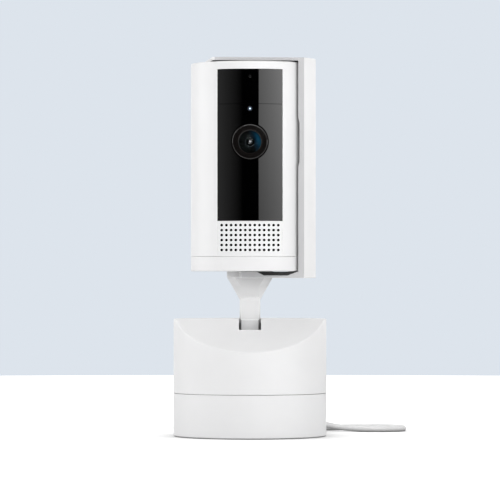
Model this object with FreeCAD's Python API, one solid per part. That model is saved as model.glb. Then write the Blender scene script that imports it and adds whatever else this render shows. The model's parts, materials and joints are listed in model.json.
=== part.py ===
import FreeCAD, Part
import math
import os

from FreeCAD import Vector

# Pan-tilt security camera. Millimetres, +Z up, the front faces -Y and +X is the viewer's right.
# The origin is the centre of the foot ring's underside, on the pan axis.

# ---- driving dimensions -------------------------------------------------------------------
WALL = 2.0
TOUCH = 0.1                 # gap between fixed neighbours in one body
RUN = 0.05                  # radial gap of a running fit
SEAM_EDGE = 0.1             # edge break beside a seam

# round base
BASE_RADIUS = 35.0
BASE_BOTTOM = 0.25          # the shell stands this high on its foot ring
LOWER_TOP = 19.75           # top deck of the fixed lower base
HOUSING_BOTTOM = 19.95      # the seam under the turning upper base
HOUSING_TOP = 53.8
HOUSING_ROUNDING = 0.6      # of the upper base's outer rim
SLANT_START = 8.2           # the front slant leaves the flat top this far in front of the axis
SLANT_ANGLE = 29.0
SLOT_HALF_WIDTH = 5.0
SLOT_FRONT = 17.0
SLOT_BACK = 15.0
SLOT_ROUNDING = 0.4         # of the slot's long upper edges
INNER_RADIUS = BASE_RADIUS - WALL

# pan drive: a fixed gear on the base's spindle, and a pinion that walks round it
SPINDLE_RADIUS = 8.0
SPINDLE_BORE = 6.0
SPINDLE_TOP = 28.4
TURNTABLE_BOTTOM = 20.3
TURNTABLE_TOP = 22.3
HUB_RADIUS = 11.0
HUB_TOP = 24.3
PAN_GEAR_LOW = 24.5
PAN_GEAR_HIGH = 27.5
GEAR_MODULE = 0.5
PRESSURE_ANGLE = math.radians(20.0)
TIP_HEIGHT = 0.8            # tooth height above the pitch circle, in modules
ROOT_DEPTH = 1.05           # tooth depth below the pitch circle, in modules
TOOTH_THINNING = 0.06       # taken off each tooth's thickness for backlash
PINION_TEETH = 15
PAN_GEAR_TEETH = 45
TILT_GEAR_TEETH = 36
PAN_PINION_ANGLE = 150.0    # where the pan pinion stands, seen from above, from +X
MOTOR_SHAFT = 1.0           # motor shaft radius

# tilt joint
TILT_HEIGHT = 42.0
TILT_SHAFT_RADIUS = 2.5
CHEEK_INNER = 5.3
CHEEK_OUTER = 7.3
TILT_GEAR_LOW = 1.2
TILT_GEAR_HIGH = 4.2
TILT_PINION_ANGLE = 45.0    # where the tilt pinion stands, from straight down towards the back

# arm: at each height, the front face's half-width and reach, then the sides' reach and half-depth
BLADE = (3.85, 6.2, 4.4, 4.6)
COLUMN = (4.15, 5.85, 4.75, 4.2)
ARM_LEVELS = [
    (TILT_HEIGHT, BLADE),
    (53.2, BLADE),
    (53.6, COLUMN),
    (62.0, COLUMN),
    (62.7, (4.15, 5.75, 4.75, 4.2)),
    (63.5, (4.15, 5.55, 5.2, 4.2)),
    (63.8, (4.15, 5.3, 5.4, 4.2)),
    (68.4, (4.15, 6.7, 8.0, 3.8)),
    (72.8, (6.8, 8.1, 10.5, 1.45)),
]
PLATFORM_RADIUS = 10.6
WIRE_BORE = 2.2             # radius of the duct for the head's wires
WIRE_EXIT_HEIGHT = 51.5

# camera head
HEAD_RADIUS = 27.0
HEAD_BOTTOM = 75.5
CAP_TOP = 82.1
SHELL_BOTTOM = 82.2
HEAD_TOP = 170.4
HEAD_INNER = HEAD_RADIUS - WALL
PANEL_INNER = 25.4          # back of the window panels in the front opening
PANEL_HALF_WIDTH = 14.65
OPENING_HALF_WIDTH = 14.75
GRILLE_LOW = SHELL_BOTTOM
GRILLE_HIGH = 98.15
WINDOW_LOW = 98.3
WINDOW_SPLIT = 151.0
WINDOW_HIGH = 166.7
OPENING_HIGH = 166.8
SPLIT_GAP = 0.16
LENS_HEIGHT = 133.9
LED_HEIGHT = 148.8
BEZEL_RADIUS = 8.0
BEZEL_ROUNDING = 0.5
STATUS_RADIUS = 1.1
MICROPHONE_HEIGHT = 163.4

# speaker grille
GRILLE_INNER = 26.2         # back of the thin grille panel
GRILLE_HALF_WIDTH = 14.71
GRILLE_COLUMNS = 13
GRILLE_ROWS = 6
GRILLE_COLUMN_PITCH = 2.13
GRILLE_ROW_PITCH = 2.24
GRILLE_TOP_ROW = 96.3
GRILLE_HOLE = 0.62          # hole radius

# swivel privacy cover, described closed over the lens and then turned open
COVER_OPEN_ANGLE = 96.0
COVER_RADIUS = 30.1
COVER_INNER = 28.2
COVER_HALF_WIDTH = 20.0
COVER_LOW = 72.4
COVER_SHELF_TOP = 75.3
COVER_CHAMFER = 0.25        # round the underside of the shelf
COVER_ROOF_LOW = 171.0
COVER_TOP = 172.4
COVER_ROOF_REACH = 19.0
COVER_HORN_REACH = 6.1
COVER_COLLAR = 10.9         # the shelf's opening round the platform
LENS_GROOVE_RADIUS = 28.6
LENS_GROOVE_HALF = 11.0
PIVOT_RADIUS = 2.95
PIVOT_BORE = 3.0

# power lead
CORD_RADIUS = 1.4
CORD_LENGTH = 1800.0
CORD_EXIT_ANGLE = 55.0
CORD_EXIT_HEIGHT = 5.2
BOOT_LENGTH = 10.5
COIL_CENTRE = Vector(8.0, 74.05, 0.0)
COIL_MEAN_RADIUS = 16.15
COIL_TURNS_ACROSS = 4
COIL_LAYERS = 4
TIE_ANGLE = 40.0
TIE_WIDTH = 9.0
TIE_THICKNESS = 0.8
PLUG_X = -23.4

# The lead's route from the boot to the coil, and from the coil to the plug: corner points of the
# centreline. The last point of the first run lies on the coil's outer turn.
LEAD_ROUTE = [
    (26.1, 37.3, 5.2),
    (31.0, 44.3, 4.4),
    (41.3, 46.5, 2.0),
    (52.4, 42.0, 1.4),
    (63.2, 40.1, 1.4),
    (70.5, 44.3, 1.4),
    (73.3, 52.2, 1.4),
    (70.5, 60.1, 1.4),
    (63.2, 64.3, 1.4),
    (51.3, 62.6, 1.4),
    (37.2, 57.5, 1.4),
    (22.5, 54.4, 1.4),
    (9.5, 53.7, 1.4),
]
TAIL_ROUTE = [
    (8.0, 53.7, 9.8),
    (-3.5, 53.4, 8.6),
    (-15.0, 54.3, 5.8),
    (-21.9, 60.1, 4.4),
    (PLUG_X, 68.4, 4.0),
    (PLUG_X, 74.4, 4.0),
]


# ---- small helpers ------------------------------------------------------------------------
def disc(radius, low, high, x=0.0, y=0.0):
    return Part.makeCylinder(radius, high - low, Vector(x, y, low))


def ring(inner, outer, low, high, x=0.0, y=0.0):
    return disc(outer, low, high, x, y).cut(disc(inner, low, high, x, y))


def rod_x(radius, start, end, y, z):
    return Part.makeCylinder(radius, end - start, Vector(start, y, z), Vector(1, 0, 0))


def rod_y(radius, start, end, x, z):
    return Part.makeCylinder(radius, end - start, Vector(x, start, z), Vector(0, 1, 0))


def cone_y(radius_start, radius_end, start, end, x, z):
    return Part.makeCone(radius_start, radius_end, end - start, Vector(x, start, z), Vector(0, 1, 0))


def block(x, y, z):
    """A box from three (low, high) pairs."""
    return Part.makeBox(x[1] - x[0], y[1] - y[0], z[1] - z[0], Vector(x[0], y[0], z[0]))


def prism_x(outline, start, end):
    """A solid with an outline of (y, z) corners, from start to end along X."""
    corners = [Vector(start, y, z) for y, z in outline]
    face = Part.Face(Part.makePolygon(corners + corners[:1]))
    return face.extrude(Vector(end - start, 0, 0))


def turned(outline):
    """A solid of revolution about Z from (radius, z) corners."""
    corners = [Vector(radius, 0, z) for radius, z in outline]
    face = Part.Face(Part.makePolygon(corners + corners[:1]))
    return face.revolve(Vector(0, 0, 0), Vector(0, 0, 1), 360)


def joined(first, *others):
    return first.fuse(list(others)).removeSplitter()


def group(solids):
    return Part.makeCompound(list(solids))


def around(radius, angles):
    """(x, y) points at the given angles on a circle about the pan axis."""
    points = []
    for angle in angles:
        turn = math.radians(angle)
        points.append((radius * math.cos(turn), radius * math.sin(turn)))
    return points


def round_edges_at(shape, size, levels, smallest):
    """Round the wide circular edges that lie flat at one of the given heights."""
    chosen = []
    for edge in shape.Edges:
        box = edge.BoundBox
        flat = box.ZLength < 1e-6
        at_level = any(abs(box.ZMin - level) < 1e-6 for level in levels)
        wide = isinstance(edge.Curve, Part.Circle) and edge.Curve.Radius > smallest
        if flat and at_level and wide:
            chosen.append(edge)
    return shape.makeFillet(size, chosen)


def screw_up(x, y, head_low, head_height, tip, head_radius=1.8, shank_radius=1.0):
    """A pan-head screw that points up, with a cross recess in its head."""
    head = disc(head_radius, head_low, head_low + head_height, x, y)
    shank = disc(shank_radius, head_low + head_height, tip, x, y)
    return joined(head, shank).cut(cross_recess(x, y, head_low, head_low + head_height / 2))


def screw_down(x, y, head_high, head_height, tip, head_radius=1.8, shank_radius=1.0):
    """The same screw pointing down."""
    head = disc(head_radius, head_high - head_height, head_high, x, y)
    shank = disc(shank_radius, tip, head_high - head_height, x, y)
    return joined(head, shank).cut(cross_recess(x, y, head_high - head_height / 2, head_high))


def cross_recess(x, y, low, high):
    arm = 1.0
    half = 0.2
    along_x = block((x - arm, x + arm), (y - half, y + half), (low, high))
    along_y = block((x - half, x + half), (y - arm, y + arm), (low, high))
    return along_x.fuse(along_y)


def curved_panel(inner, outer, half_width, low, high):
    """A strip of a cylinder wall across the head's front."""
    front = block((-half_width, half_width), (-outer - 1, -half_width / 2), (low, high))
    return ring(inner, outer, low, high).common(front)


# ---- gears --------------------------------------------------------------------------------
def involute(angle):
    return math.tan(angle) - angle


def at_polar(radius, angle):
    return Vector(radius * math.cos(angle), radius * math.sin(angle), 0)


def arc_between(radius, start, end):
    middle = (start + end) / 2
    return Part.Arc(at_polar(radius, start), at_polar(radius, middle), at_polar(radius, end)).toShape()


def gear(teeth, low, high, tooth_at, bore):
    """A spur gear about Z with involute flanks and a tooth centred at tooth_at degrees."""
    pitch = GEAR_MODULE * teeth / 2
    base = pitch * math.cos(PRESSURE_ANGLE)
    tip = pitch + TIP_HEIGHT * GEAR_MODULE
    root = pitch - ROOT_DEPTH * GEAR_MODULE
    half_at_pitch = math.pi / (2 * teeth) - TOOTH_THINNING / (2 * pitch)

    def half_angle(radius):
        pressure = math.acos(min(1.0, base / radius))
        return half_at_pitch + involute(PRESSURE_ANGLE) - involute(pressure)

    flank_start = max(root, base)
    steps = 4
    radii = [flank_start + (tip - flank_start) * step / steps for step in range(steps + 1)]
    edges = []
    pitch_step = 2 * math.pi / teeth
    for tooth in range(teeth):
        centre = math.radians(tooth_at) + tooth * pitch_step
        rising = [at_polar(radius, centre - half_angle(radius)) for radius in radii]
        falling = [at_polar(radius, centre + half_angle(radius)) for radius in reversed(radii)]
        foot_angle = half_angle(flank_start)
        if root < base:
            edges.append(Part.makeLine(at_polar(root, centre - foot_angle), rising[0]))
        edges.append(smooth_curve(rising))
        edges.append(arc_between(tip, centre - half_angle(tip), centre + half_angle(tip)))
        edges.append(smooth_curve(falling))
        if root < base:
            edges.append(Part.makeLine(falling[-1], at_polar(root, centre + foot_angle)))
        edges.append(arc_between(root, centre + foot_angle, centre + pitch_step - foot_angle))
    face = Part.Face(Part.Wire(edges))
    face.translate(Vector(0, 0, low))
    return face.extrude(Vector(0, 0, high - low)).cut(disc(bore, low, high))


def smooth_curve(points):
    curve = Part.BSplineCurve()
    curve.interpolate(points)
    return curve.toShape()


def pinion_tooth_angle(towards):
    """Tooth angle that puts a gap between teeth on the side facing the other gear."""
    return towards + 180.0 + 180.0 / PINION_TEETH


def lay_along_x(shape):
    """Turn a shape made about Z to lie along X: its +X side then points down, its +Y side back."""
    shape.rotate(Vector(0, 0, 0), Vector(0, 1, 0), 90)
    return shape


PINION_PITCH = GEAR_MODULE * PINION_TEETH / 2
PAN_CENTRES = GEAR_MODULE * PAN_GEAR_TEETH / 2 + PINION_PITCH
TILT_CENTRES = GEAR_MODULE * TILT_GEAR_TEETH / 2 + PINION_PITCH
PAN_PINION_X = PAN_CENTRES * math.cos(math.radians(PAN_PINION_ANGLE))
PAN_PINION_Y = PAN_CENTRES * math.sin(math.radians(PAN_PINION_ANGLE))
TILT_PINION_Y = TILT_CENTRES * math.sin(math.radians(TILT_PINION_ANGLE))
TILT_PINION_Z = TILT_HEIGHT - TILT_CENTRES * math.cos(math.radians(TILT_PINION_ANGLE))


# ---- fixed lower base ---------------------------------------------------------------------
BASE_POSTS = around(23.0, (0, 120, 240))
BASE_FLOOR_TOP = BASE_BOTTOM + WALL
BUTTON_HEIGHT = 11.0
BUTTON_RADIUS = 2.1
BOARD_STANDOFFS = [(x, y) for x in (-17.0, 17.0) for y in (-11.0, 11.0)]
POWER_BOARD_LOW = 9.5


def cord_direction():
    turn = math.radians(CORD_EXIT_ANGLE)
    return Vector(math.cos(turn), math.sin(turn), 0)


def rod_at_exit(radius, start, end):
    """A cylinder along the lead's exit, between two distances from the pan axis."""
    direction = cord_direction()
    foot = direction * start + Vector(0, 0, CORD_EXIT_HEIGHT)
    return Part.makeCylinder(radius, end - start, foot, direction)


def base_shell():
    outside = disc(BASE_RADIUS, BASE_BOTTOM, LOWER_TOP)
    outside = round_edges_at(outside, 0.6, [BASE_BOTTOM], 30)
    outside = round_edges_at(outside, SEAM_EDGE, [LOWER_TOP], 30)
    deck_low = LOWER_TOP - WALL
    shell = outside.cut(disc(INNER_RADIUS, BASE_BOTTOM, deck_low))
    posts = [disc(3.0, BASE_FLOOR_TOP, deck_low, x, y) for x, y in BASE_POSTS]
    shell = joined(shell, disc(SPINDLE_RADIUS, deck_low, SPINDLE_TOP), *posts)
    pilot_top = 8.5
    cuts = [disc(1.0, BASE_FLOOR_TOP, pilot_top, x, y) for x, y in BASE_POSTS]
    cuts.append(disc(SPINDLE_BORE, deck_low, SPINDLE_TOP))
    cuts.append(rod_y(BUTTON_RADIUS + 0.15, INNER_RADIUS - 2, BASE_RADIUS + 1, 0, BUTTON_HEIGHT))
    cuts.append(rod_at_exit(2.6, INNER_RADIUS - 1, BASE_RADIUS + 1))
    return shell.cut(cuts)


def base_floor():
    floor = disc(INNER_RADIUS - TOUCH, BASE_BOTTOM, BASE_FLOOR_TOP)
    standoffs = [disc(1.4, BASE_FLOOR_TOP, POWER_BOARD_LOW, x, y) for x, y in BOARD_STANDOFFS]
    floor = joined(floor, *standoffs)
    cuts = [ring(27.6, 31.6, BASE_BOTTOM, 1.3)]
    for x, y in BASE_POSTS:
        cuts.append(disc(1.2, BASE_BOTTOM, BASE_FLOOR_TOP, x, y))
        cuts.append(disc(2.1, BASE_BOTTOM, 1.6, x, y))
    return floor.cut(cuts)


def foot_ring():
    foot = ring(27.7, 31.5, 0, 1.3)
    return round_edges_at(foot, 0.3, [0.0], 20)


def ballast_weight():
    weight = ring(5.0, 18.0, BASE_FLOOR_TOP, BASE_FLOOR_TOP + 5)
    return round_edges_at(weight, 0.5, [BASE_FLOOR_TOP + 5], 4)


def power_board():
    top = POWER_BOARD_LOW + 1.6
    board = block((-19, 19), (-13, 13), (POWER_BOARD_LOW, top)).cut(disc(5.0, POWER_BOARD_LOW, top))
    pieces = [
        disc(2.5, top, top + 5, -12, 6),
        disc(2.5, top, top + 5, -12, -1),
        block((8, 14), (-8, -2), (top, top + 3)),
        block((10, 16), (5, 10), (top, top + 4)),
        block((-3, 4), (-11, -7), (top, top + 1.2)),
    ]
    return joined(board, *pieces)


def switch_board():
    board = block((-6, 6), (24.6, 26), (BASE_FLOOR_TOP, 15.5))
    switch = block((-3, 3), (26, 29.4), (BUTTON_HEIGHT - 3, BUTTON_HEIGHT + 3))
    plunger = rod_y(1.5, 29.4, 30.5, 0, BUTTON_HEIGHT)
    return joined(board, switch, plunger)


def setup_button():
    stem = rod_y(BUTTON_RADIUS, 31.3, 34.95, 0, BUTTON_HEIGHT)
    flange = rod_y(3.0, 31.3, 32.5, 0, BUTTON_HEIGHT)
    return joined(stem, flange)


def base_screws():
    return group(screw_up(x, y, 0.6, 1.0, 8.4) for x, y in BASE_POSTS)


def pan_gear():
    """The fixed gear that the pan pinion walks round."""
    return gear(PAN_GEAR_TEETH, PAN_GEAR_LOW, PAN_GEAR_HIGH, PAN_PINION_ANGLE, SPINDLE_RADIUS)


def pan_bearing():
    flange = ring(SPINDLE_RADIUS, 13.0, LOWER_TOP, TURNTABLE_BOTTOM - RUN)
    sleeve = ring(SPINDLE_RADIUS, SPINDLE_RADIUS + 1, LOWER_TOP, PAN_GEAR_LOW)
    return joined(flange, sleeve)


def pan_clip():
    clip = ring(SPINDLE_RADIUS, 9.8, PAN_GEAR_HIGH, PAN_GEAR_HIGH + 0.7)
    return clip.cut(block((0, 11), (-1.5, 1.5), (PAN_GEAR_HIGH, PAN_GEAR_HIGH + 0.7)))


def cord_boot():
    """Tapered strain relief with ribs, held behind the wall by a flange."""
    direction = cord_direction()
    tip = BASE_RADIUS + BOOT_LENGTH
    flange = rod_at_exit(3.4, INNER_RADIUS - 2.2, INNER_RADIUS - 0.6)
    flange = flange.cut(block((0, BASE_RADIUS), (0, BASE_RADIUS), (0, BASE_FLOOR_TOP)))
    neck = rod_at_exit(2.55, INNER_RADIUS - 0.6, BASE_RADIUS)
    foot = direction * BASE_RADIUS + Vector(0, 0, CORD_EXIT_HEIGHT)
    cone = Part.makeCone(2.55, 1.9, BOOT_LENGTH, foot, direction)
    boot = joined(flange, neck, cone)
    grooves = []
    for step in range(3):
        start = BASE_RADIUS + 2.4 + 2.4 * step
        grooves.append(rod_at_exit(4.0, start, start + 0.9).cut(rod_at_exit(1.8, start, start + 0.9)))
    return boot.cut(grooves).cut(rod_at_exit(CORD_RADIUS, INNER_RADIUS - 3, tip - 2))


# ---- turning upper base -------------------------------------------------------------------
HOUSING_SCREWS = around(30.3, (20, 140, 260))
BOSS_TOP = 28.3
MOTOR_CAN = (-20.5, 11.8)
MOTOR_CAN_RADIUS = 8.5
GEARBOX_LOW = 29.0
MOTOR_EARS = [(-15.0, 21.3), (-26.0, 2.3)]
FRAME_FEET = [(side * 9.5, end * 15.0) for side in (-1, 1) for end in (-1, 1)]
TILT_CAN = (13.5, 38.0)
TILT_CAN_RADIUS = 7.0
DRIVE_BOARD_LOW = 25.0


def slant_height(y):
    """Height of the front slant's plane."""
    return HOUSING_TOP + (SLANT_START + y) * math.tan(math.radians(SLANT_ANGLE))


def housing_volume(radius, low, top, slant_drop):
    """A round block whose front is cut by the slant, which is lowered by slant_drop."""
    back = 5.0
    front = -45.0
    above = 80.0
    outline = [
        (back, slant_height(back) - slant_drop), (front, slant_height(front) - slant_drop),
        (front, above), (back, above),
    ]
    return disc(radius, low, top).cut(prism_x(outline, -radius - 1, radius + 1))


def outer_rim_edges(shape):
    """The edges where the round side meets the flat top and the front slant."""
    chosen = []
    for edge in shape.Edges:
        box = edge.BoundBox
        middle = edge.valueAt((edge.FirstParameter + edge.LastParameter) / 2)
        on_side = abs(math.hypot(middle.x, middle.y) - BASE_RADIUS) < 1e-3
        if on_side and box.ZMin > HOUSING_BOTTOM + 5 and math.hypot(box.XLength, box.YLength) > 1:
            chosen.append(edge)
    return chosen


def long_slot_edges(shape):
    """The slot's upper edges, where its side walls meet the flat top and the front slant."""
    chosen = []
    for edge in shape.Edges:
        middle = edge.valueAt((edge.FirstParameter + edge.LastParameter) / 2)
        on_wall = abs(abs(middle.x) - SLOT_HALF_WIDTH) < 1e-3 and edge.BoundBox.YLength > 1
        if on_wall and middle.z > min(HOUSING_TOP, slant_height(middle.y)) - 0.01:
            chosen.append(edge)
    return chosen


def pan_housing():
    outside = housing_volume(BASE_RADIUS, HOUSING_BOTTOM, HOUSING_TOP, 0)
    outside = outside.makeFillet(HOUSING_ROUNDING, outer_rim_edges(outside))
    outside = round_edges_at(outside, SEAM_EDGE, [HOUSING_BOTTOM], 30)
    drop = WALL / math.cos(math.radians(SLANT_ANGLE))
    inside = housing_volume(INNER_RADIUS, HOUSING_BOTTOM, HOUSING_TOP - WALL, drop)
    bosses = [disc(2.8, TURNTABLE_TOP, BOSS_TOP, x, y) for x, y in HOUSING_SCREWS]
    shell = joined(outside.cut(inside), *bosses).common(disc(BASE_RADIUS, 0, HOUSING_TOP))
    pilots = [disc(1.0, TURNTABLE_TOP, BOSS_TOP - 0.5, x, y) for x, y in HOUSING_SCREWS]
    slot_x = (-SLOT_HALF_WIDTH, SLOT_HALF_WIDTH)
    slot = block(slot_x, (-SLOT_FRONT, SLOT_BACK), (TILT_HEIGHT, HOUSING_TOP + 1))
    shell = shell.cut(pilots + [slot])
    return shell.makeFillet(SLOT_ROUNDING, long_slot_edges(shell))


def turntable():
    plate = disc(INNER_RADIUS - 0.2, TURNTABLE_BOTTOM, TURNTABLE_TOP)
    hub = disc(HUB_RADIUS, TURNTABLE_TOP, HUB_TOP)
    posts = [disc(2.2, TURNTABLE_TOP, GEARBOX_LOW, x, y) for x, y in MOTOR_EARS]
    posts += [disc(1.5, TURNTABLE_TOP, DRIVE_BOARD_LOW, -23, y) for y in (-16, -6)]
    plate = joined(plate, hub, *posts)
    cuts = [disc(SPINDLE_RADIUS + 1 + RUN, TURNTABLE_BOTTOM, HUB_TOP)]
    for x, y in HOUSING_SCREWS:
        cuts.append(disc(1.1, TURNTABLE_BOTTOM, TURNTABLE_TOP, x, y))
        cuts.append(disc(2.0, TURNTABLE_BOTTOM, TURNTABLE_BOTTOM + 1.1, x, y))
    cuts += [disc(0.8, TURNTABLE_TOP, GEARBOX_LOW, x, y) for x, y in MOTOR_EARS]
    cuts += [disc(0.8, TURNTABLE_BOTTOM, TURNTABLE_TOP, x, y) for x, y in FRAME_FEET]
    return plate.cut(cuts)


def pan_screws():
    low = TURNTABLE_BOTTOM + 0.1
    return group(screw_up(x, y, low, 1.0, BOSS_TOP - 0.6) for x, y in HOUSING_SCREWS)


def pan_motor():
    """A small geared stepper motor: flat gearbox with ears, and its can on top."""
    can_x, can_y = MOTOR_CAN
    top = GEARBOX_LOW + 3
    pieces = [disc(MOTOR_CAN_RADIUS, GEARBOX_LOW, top + 11, can_x, can_y)]
    pieces.append(disc(3.5, GEARBOX_LOW, top, PAN_PINION_X, PAN_PINION_Y))
    for ear_x, ear_y in MOTOR_EARS:
        pieces.append(disc(2.6, GEARBOX_LOW, GEARBOX_LOW + 1.5, ear_x, ear_y))
    motor = joined(pieces[0], *pieces[1:])
    cuts = [disc(MOTOR_SHAFT + RUN, GEARBOX_LOW, top - 0.4, PAN_PINION_X, PAN_PINION_Y)]
    cuts += [disc(0.9, GEARBOX_LOW, top, x, y) for x, y in MOTOR_EARS]
    return round_edges_at(motor.cut(cuts), 0.8, [top + 11], 8)


def pan_pinion():
    teeth = gear(PINION_TEETH, PAN_GEAR_LOW, PAN_GEAR_HIGH, pinion_tooth_angle(PAN_PINION_ANGLE), 0.5)
    shaft = disc(MOTOR_SHAFT, PAN_GEAR_LOW, GEARBOX_LOW + 2.4)
    pinion = joined(teeth, shaft)
    pinion.translate(Vector(PAN_PINION_X, PAN_PINION_Y, 0))
    return pinion


def motor_screws():
    top = GEARBOX_LOW + 1.5
    return group(screw_down(x, y, top + 1, 1.0, top - 6, 1.6, 0.8) for x, y in MOTOR_EARS)


def tilt_frame():
    """Two cheeks that line the slot and carry the tilt shaft, each on two legs."""
    low = 29.0
    outline = [
        (-16.0, 46.5), (-7.0, 51.0), (16.5, 51.0), (17.0, TURNTABLE_TOP), (13.0, TURNTABLE_TOP),
        (13.0, low), (-13.0, low), (-13.0, TURNTABLE_TOP), (-17.0, TURNTABLE_TOP), (-17.0, low),
    ]
    pieces = []
    for side in (-1, 1):
        start = min(side * CHEEK_INNER, side * CHEEK_OUTER)
        cheek = prism_x(outline, start, start + CHEEK_OUTER - CHEEK_INNER)
        cheek = cheek.cut(rod_x(4.0, start, start + 2, 0, TILT_HEIGHT))
        if side > 0:
            cheek = cheek.cut(rod_x(1.6, start, start + 2, TILT_PINION_Y, TILT_PINION_Z))
        feet = []
        for end in (-1, 1):
            x_range = sorted((side * (CHEEK_OUTER - 0.5), side * 11.8))
            foot = block(x_range, (end * 15.0 - 2, end * 15.0 + 2), (TURNTABLE_TOP, TURNTABLE_TOP + 1.6))
            feet.append(foot.cut(disc(0.9, TURNTABLE_TOP, TURNTABLE_TOP + 1.6, side * 9.5, end * 15.0)))
        pieces.append(joined(cheek, *feet))
    return group(pieces)


def tilt_bushes():
    bushes = []
    for start in (CHEEK_INNER, -CHEEK_OUTER):
        bush = rod_x(4.0, start, start + 2, 0, TILT_HEIGHT)
        bushes.append(bush.cut(rod_x(TILT_SHAFT_RADIUS + RUN, start, start + 2, 0, TILT_HEIGHT)))
    return group(bushes)


def tilt_motor():
    can_y, can_z = TILT_CAN
    face = CHEEK_OUTER + 3
    gearbox = rod_x(TILT_CAN_RADIUS, CHEEK_OUTER, face + 9.5, can_y, can_z)
    nose = rod_x(3.4, CHEEK_OUTER, face, TILT_PINION_Y, TILT_PINION_Z)
    bore = rod_x(MOTOR_SHAFT + RUN, CHEEK_OUTER, face - 0.4, TILT_PINION_Y, TILT_PINION_Z)
    return joined(gearbox, nose).cut(bore)


def tilt_pinion():
    tooth = pinion_tooth_angle(TILT_PINION_ANGLE)
    teeth = gear(PINION_TEETH, TILT_GEAR_LOW, TILT_GEAR_HIGH, tooth, 0.5)
    shaft = disc(MOTOR_SHAFT, TILT_GEAR_LOW, CHEEK_OUTER + 2.4)
    pinion = lay_along_x(joined(teeth, shaft))
    pinion.translate(Vector(0, TILT_PINION_Y, TILT_PINION_Z))
    return pinion


def drive_board():
    top = DRIVE_BOARD_LOW + 1.6
    board = block((-25, -12.6), (-19, -3), (DRIVE_BOARD_LOW, top))
    chips = [block((-21, -16), (-17, -12), (top, top + 1)), block((-22, -15), (-9, -5), (top, top + 4))]
    return joined(board, *chips)


# ---- tilting arm and head -----------------------------------------------------------------
ARM_SCREWS = around(5.2, (30, 150, 270))
CAP_POSTS = around(22.0, (90, 210, 330))


def octagon(level):
    """The arm's outline at one level: a front and back face, two sides and four slanted corners."""
    z, (front_half_x, front_y, side_x, side_half_y) = level
    quarter = [
        (front_half_x, -front_y), (side_x, -side_half_y),
        (side_x, side_half_y), (front_half_x, front_y),
    ]
    mirrored = [(-x, y) for x, y in reversed(quarter)]
    corners = [Vector(x, y, z) for x, y in quarter + mirrored]
    return Part.makePolygon(corners + corners[:1])


def tilt_arm():
    blade_side = BLADE[2]
    hub_right = 1.0
    stem = Part.makeLoft([octagon(level) for level in ARM_LEVELS], True, True)
    hub = rod_x(7.0, -blade_side, hub_right, 0, TILT_HEIGHT)
    platform = disc(PLATFORM_RADIUS, ARM_LEVELS[-1][0], HEAD_BOTTOM)
    arm = joined(hub, stem, platform)
    gear_pocket = rod_x(6.3, hub_right, 6, 0, TILT_HEIGHT)
    shaft_bore = rod_x(TILT_SHAFT_RADIUS, -6, 6, 0, TILT_HEIGHT)
    wire_bore = disc(WIRE_BORE, WIRE_EXIT_HEIGHT, HEAD_BOTTOM)
    wire_exit = rod_y(WIRE_BORE, 0, BLADE[1] + 1, 0, WIRE_EXIT_HEIGHT)
    pilots = [disc(0.9, 71.0, HEAD_BOTTOM, x, y) for x, y in ARM_SCREWS]
    return arm.cut([gear_pocket, shaft_bore, wire_bore, wire_exit] + pilots)


def tilt_shaft():
    return rod_x(TILT_SHAFT_RADIUS, -8.2, 8.2, 0, TILT_HEIGHT)


def shaft_clips():
    clips = []
    for start in (CHEEK_OUTER + 0.15, -CHEEK_OUTER - 0.75):
        clip = rod_x(4.0, start, start + 0.6, 0, TILT_HEIGHT)
        clips.append(clip.cut(rod_x(TILT_SHAFT_RADIUS, start, start + 0.6, 0, TILT_HEIGHT)))
    return group(clips)


def tilt_gear():
    """A toothed sector on a round hub: only the stretch that the pinion can reach has teeth."""
    full = gear(TILT_GEAR_TEETH, TILT_GEAR_LOW, TILT_GEAR_HIGH, TILT_PINION_ANGLE, TILT_SHAFT_RADIUS)
    first, last = -18.0, 93.0
    reach = 20.0
    corners = [Vector(0, 0, TILT_GEAR_LOW)]
    for angle in (first, (first + last) / 2, last):
        corners.append(at_polar(reach, math.radians(angle)) + Vector(0, 0, TILT_GEAR_LOW))
    wedge = Part.Face(Part.makePolygon(corners + corners[:1]))
    wedge = wedge.extrude(Vector(0, 0, TILT_GEAR_HIGH - TILT_GEAR_LOW))
    hub = ring(TILT_SHAFT_RADIUS, 6.0, TILT_GEAR_LOW, TILT_GEAR_HIGH)
    sector = lay_along_x(joined(full.common(wedge), hub))
    sector.translate(Vector(0, 0, TILT_HEIGHT))
    return sector


def arm_screws():
    return group(screw_down(x, y, 78.9, 1.2, 72.0, 1.7, 0.9) for x, y in ARM_SCREWS)


def bottom_cap():
    floor_top = HEAD_BOTTOM + 2.2
    outside = round_edges_at(disc(HEAD_RADIUS, HEAD_BOTTOM, CAP_TOP), 0.5, [HEAD_BOTTOM], 20)
    outside = round_edges_at(outside, SEAM_EDGE, [CAP_TOP], 20)
    cap = outside.cut(disc(HEAD_INNER, floor_top, CAP_TOP))
    lip = ring(23.9, HEAD_INNER - 0.1, floor_top, 85.0)
    rib = ring(HEAD_INNER - 0.2, HEAD_INNER + 0.2, floor_top, CAP_TOP - 1)
    posts = [disc(2.5, floor_top, 85.0, x, y) for x, y in CAP_POSTS]
    cap = joined(cap, lip, rib, *posts)
    cuts = [disc(3.0, HEAD_BOTTOM, floor_top)]
    cuts += [disc(0.95, HEAD_BOTTOM, floor_top, x, y) for x, y in ARM_SCREWS]
    for x, y in CAP_POSTS:
        cuts.append(disc(1.1, HEAD_BOTTOM, 85.0, x, y))
        cuts.append(disc(2.0, HEAD_BOTTOM, HEAD_BOTTOM + 1.4, x, y))
    return cap.cut(cuts)


def head_screws():
    return group(screw_up(x, y, HEAD_BOTTOM + 0.3, 1.1, 92.0) for x, y in CAP_POSTS)


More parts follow.
